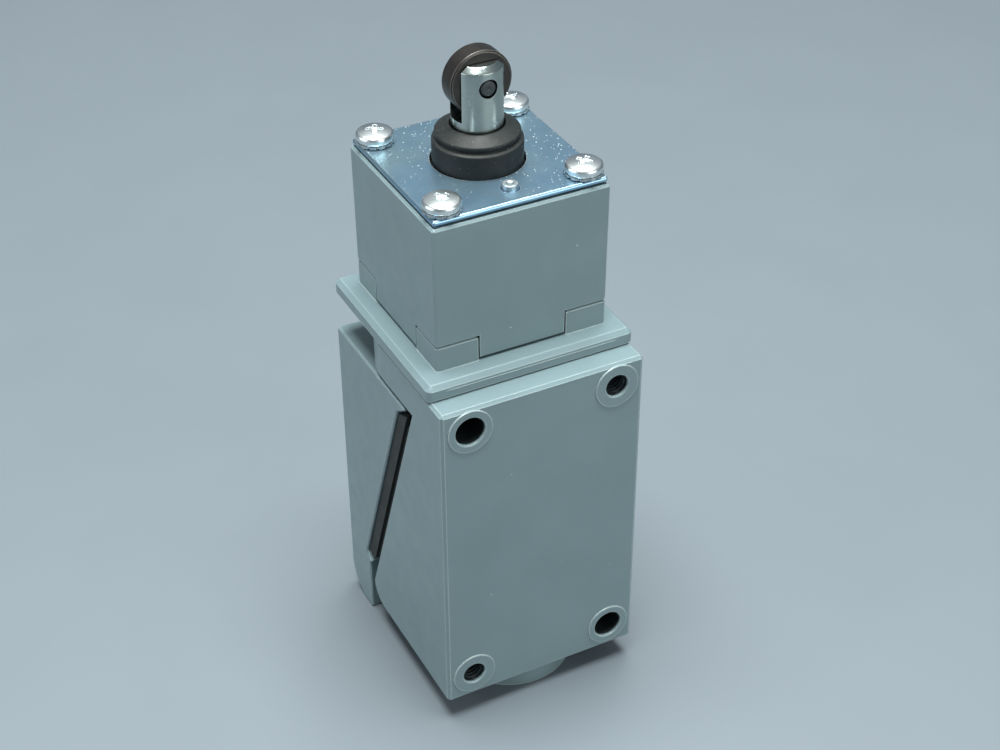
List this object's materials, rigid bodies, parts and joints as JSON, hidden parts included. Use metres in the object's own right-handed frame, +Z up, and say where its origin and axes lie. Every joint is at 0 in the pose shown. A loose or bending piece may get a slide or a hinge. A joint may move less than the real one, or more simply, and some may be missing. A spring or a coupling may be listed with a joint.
{
  "type": "limit switch",
  "caption": "Heavy-duty plug-in limit switch with a top roller plunger: die-cast wired receptacle, plug-in switch body on a sloping gasketed joint, and a square operating head.",
  "frame": {"origin": "middle of the bounding box on its lowest plane, the face of the conduit hub", "axes": "+Z up towards the roller, +Y out of the rear mounting face, X across the switch"},
  "size_m": [0.0422, 0.0474, 0.1304],
  "materials": {
    "grey_enamel": "semi-gloss enamel on a die casting",
    "black_rubber": "moulded nitrile rubber",
    "gasket_rubber": "moulded gasket rubber",
    "zinc_plated_steel": "bright zinc plate",
    "stainless_steel": "turned",
    "spring_steel": "drawn wire and strip",
    "oxided_steel": "hardened, black oxide",
    "sintered_bronze": "sintered, oiled",
    "brass": "stamped",
    "silver_alloy": "stamped, silver faced",
    "black_moulding": "thermoset moulding",
    "white_moulding": "injection moulding",
    "green_plated_steel": "green chromate plate",
    "anodised_aluminium": "satin anodised sheet"
  },
  "bodies": {
    "housing": {"receptacle_housing": "grey_enamel", "switch_body_housing": "grey_enamel", "head_housing": "grey_enamel", "body_gasket": "gasket_rubber", "nameplate": "anodised_aluminium", "body_screw_upper": "zinc_plated_steel", "body_screw_lower": "zinc_plated_steel", "head_cover_plate": "zinc_plated_steel", "plate_locating_pin": "zinc_plated_steel", "head_screw_1": "zinc_plated_steel", "head_screw_2": "zinc_plated_steel", "head_screw_3": "zinc_plated_steel", "head_screw_4": "zinc_plated_steel", "head_lock_washer_1": "zinc_plated_steel", "head_lock_washer_2": "zinc_plated_steel", "head_lock_washer_3": "zinc_plated_steel", "head_lock_washer_4": "zinc_plated_steel", "plunger_boot": "black_rubber", "plunger_bushing": "sintered_bronze", "push_rod_seal": "black_rubber", "head_gasket": "black_rubber", "plunger_return_spring": "spring_steel", "contact_block_base": "black_moulding", "contact_block_cover": "black_moulding", "contact_block_screw_1": "zinc_plated_steel", "contact_block_screw_2": "zinc_plated_steel", "stationary_contact_1": "brass", "stationary_contact_2": "brass", "stationary_contact_3": "brass", "stationary_contact_4": "brass", "carrier_return_spring": "spring_steel", "terminal_block": "black_moulding", "socket_clip_1": "brass", "socket_clip_2": "brass", "socket_clip_3": "brass", "socket_clip_4": "brass", "wire_clamp_1": "zinc_plated_steel", "wire_clamp_2": "zinc_plated_steel", "wire_clamp_3": "zinc_plated_steel", "wire_clamp_4": "zinc_plated_steel", "terminal_screw_1": "zinc_plated_steel", "terminal_screw_2": "zinc_plated_steel", "terminal_screw_3": "zinc_plated_steel", "terminal_screw_4": "zinc_plated_steel", "terminal_block_screw_1": "zinc_plated_steel", "terminal_block_screw_2": "zinc_plated_steel", "ground_screw": "green_plated_steel"},
    "plunger": {"plunger": "stainless_steel", "roller_pin": "oxided_steel", "plunger_retaining_ring": "spring_steel", "return_spring_seat": "zinc_plated_steel", "push_rod": "stainless_steel"},
    "roller": {"roller": "oxided_steel"},
    "contact_carrier": {"contact_carrier": "white_moulding", "moving_contact_upper": "silver_alloy", "moving_contact_lower": "silver_alloy", "overtravel_spring": "spring_steel"}
  },
  "joints": [
    {"name": "plunger_slide", "type": "slide", "parent": "housing", "child": "plunger", "axis": [0, 0, -1], "range_m": [0, 0.004], "stiffness_N_per_m": 1500, "springref_m": -0.006, "deforming": ["plunger_return_spring"]},
    {"name": "roller_spin", "type": "hinge", "parent": "plunger", "child": "roller", "pos_m": [0, -0.0025, 0.1244], "axis": [0, 1, 0], "continuous": true},
    {"name": "carrier_slide", "type": "slide", "parent": "housing", "child": "contact_carrier", "axis": [0, 0, -1], "range_m": [0, 0.002], "deforming": ["carrier_return_spring", "overtravel_spring"]}
  ],
  "couplings": [
    {"joint": "carrier_slide", "follows": "plunger_slide", "ratio": 0.5}
  ]
}
